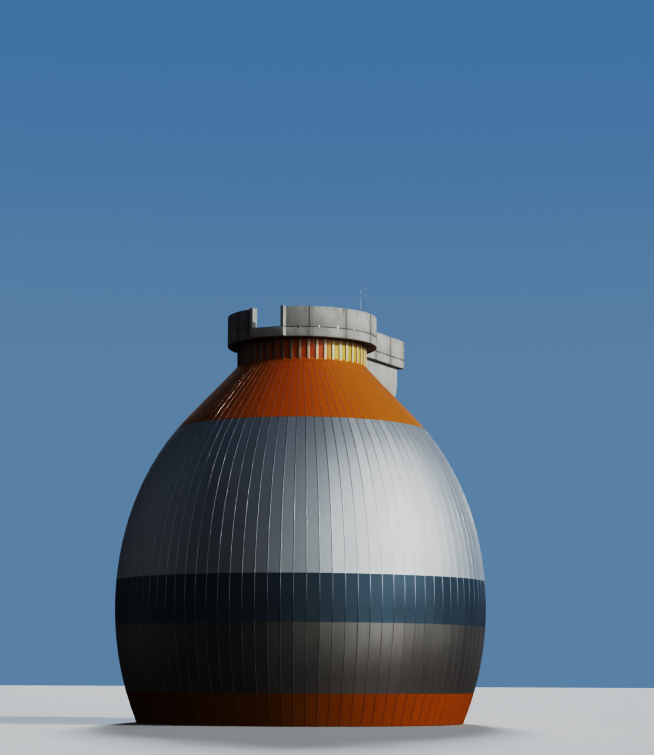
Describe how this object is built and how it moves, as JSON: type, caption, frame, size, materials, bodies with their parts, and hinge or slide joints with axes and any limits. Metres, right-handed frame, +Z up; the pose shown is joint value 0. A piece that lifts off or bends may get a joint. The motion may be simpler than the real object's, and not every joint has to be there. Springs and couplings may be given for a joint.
{
  "type": "egg-shaped sludge digester",
  "caption": "Egg-shaped concrete digester in banded metal cladding, with a ribbed neck, round parapeted head, a short landing and a walkway platform on a tapering console.",
  "frame": {"origin": "on the egg's upright axis, at ground level, on the underside of the tank floor", "axes": "+Z up; -Y towards the landing on the head, +Y towards the platform and its console; X across that line"},
  "size_m": [21.9882, 21.9882, 26.1],
  "materials": {
    "structural_concrete": "rough cast concrete",
    "facing_concrete": "smooth fair-faced concrete, weathered",
    "silver_cladding": "satin sheet",
    "mill_aluminium_cladding": "dull mill finish sheet",
    "orange_cladding": "satin coated sheet",
    "blue_cladding": "satin coated sheet",
    "neck_cladding": "satin coated sheet with pale ribs",
    "soffit_sheet": "matt coated sheet",
    "rod_metal": "weathered galvanised rod"
  },
  "bodies": {
    "root": {"shell_lower": "structural_concrete", "shell_middle": "structural_concrete", "shell_upper": "structural_concrete", "shell_crown": "structural_concrete", "tank_floor": "structural_concrete", "neck_wall": "structural_concrete", "head_deck": "structural_concrete", "base_cladding": "orange_cladding", "lower_cladding": "mill_aluminium_cladding", "blue_cladding": "blue_cladding", "body_cladding": "silver_cladding", "cone_cladding": "orange_cladding", "neck_cladding": "neck_cladding", "head_fascia": "facing_concrete", "head_soffit": "soffit_sheet", "head_parapet_east_1": "facing_concrete", "head_parapet_east_2": "facing_concrete", "head_parapet_east_3": "facing_concrete", "head_parapet_east_4": "facing_concrete", "head_parapet_east_5": "facing_concrete", "head_parapet_west_1": "facing_concrete", "head_parapet_west_2": "facing_concrete", "head_parapet_west_3": "facing_concrete", "head_parapet_west_4": "facing_concrete", "head_parapet_west_5": "facing_concrete", "landing_nib": "facing_concrete", "landing_cheek_east": "facing_concrete", "landing_cheek_west": "facing_concrete", "platform_deck": "facing_concrete", "platform_fascia_east": "facing_concrete", "platform_fascia_west": "facing_concrete", "platform_fascia_end": "facing_concrete", "platform_parapet_east_1": "facing_concrete", "platform_parapet_east_2": "facing_concrete", "platform_parapet_east_3": "facing_concrete", "platform_parapet_west_1": "facing_concrete", "platform_parapet_west_2": "facing_concrete", "platform_parapet_west_3": "facing_concrete", "platform_cheek_east": "facing_concrete", "platform_cheek_west": "facing_concrete", "console": "facing_concrete", "lightning_rod_centre": "rod_metal", "lightning_rod_tall": "rod_metal", "lightning_rod_short": "rod_metal"}
  },
  "joints": []
}
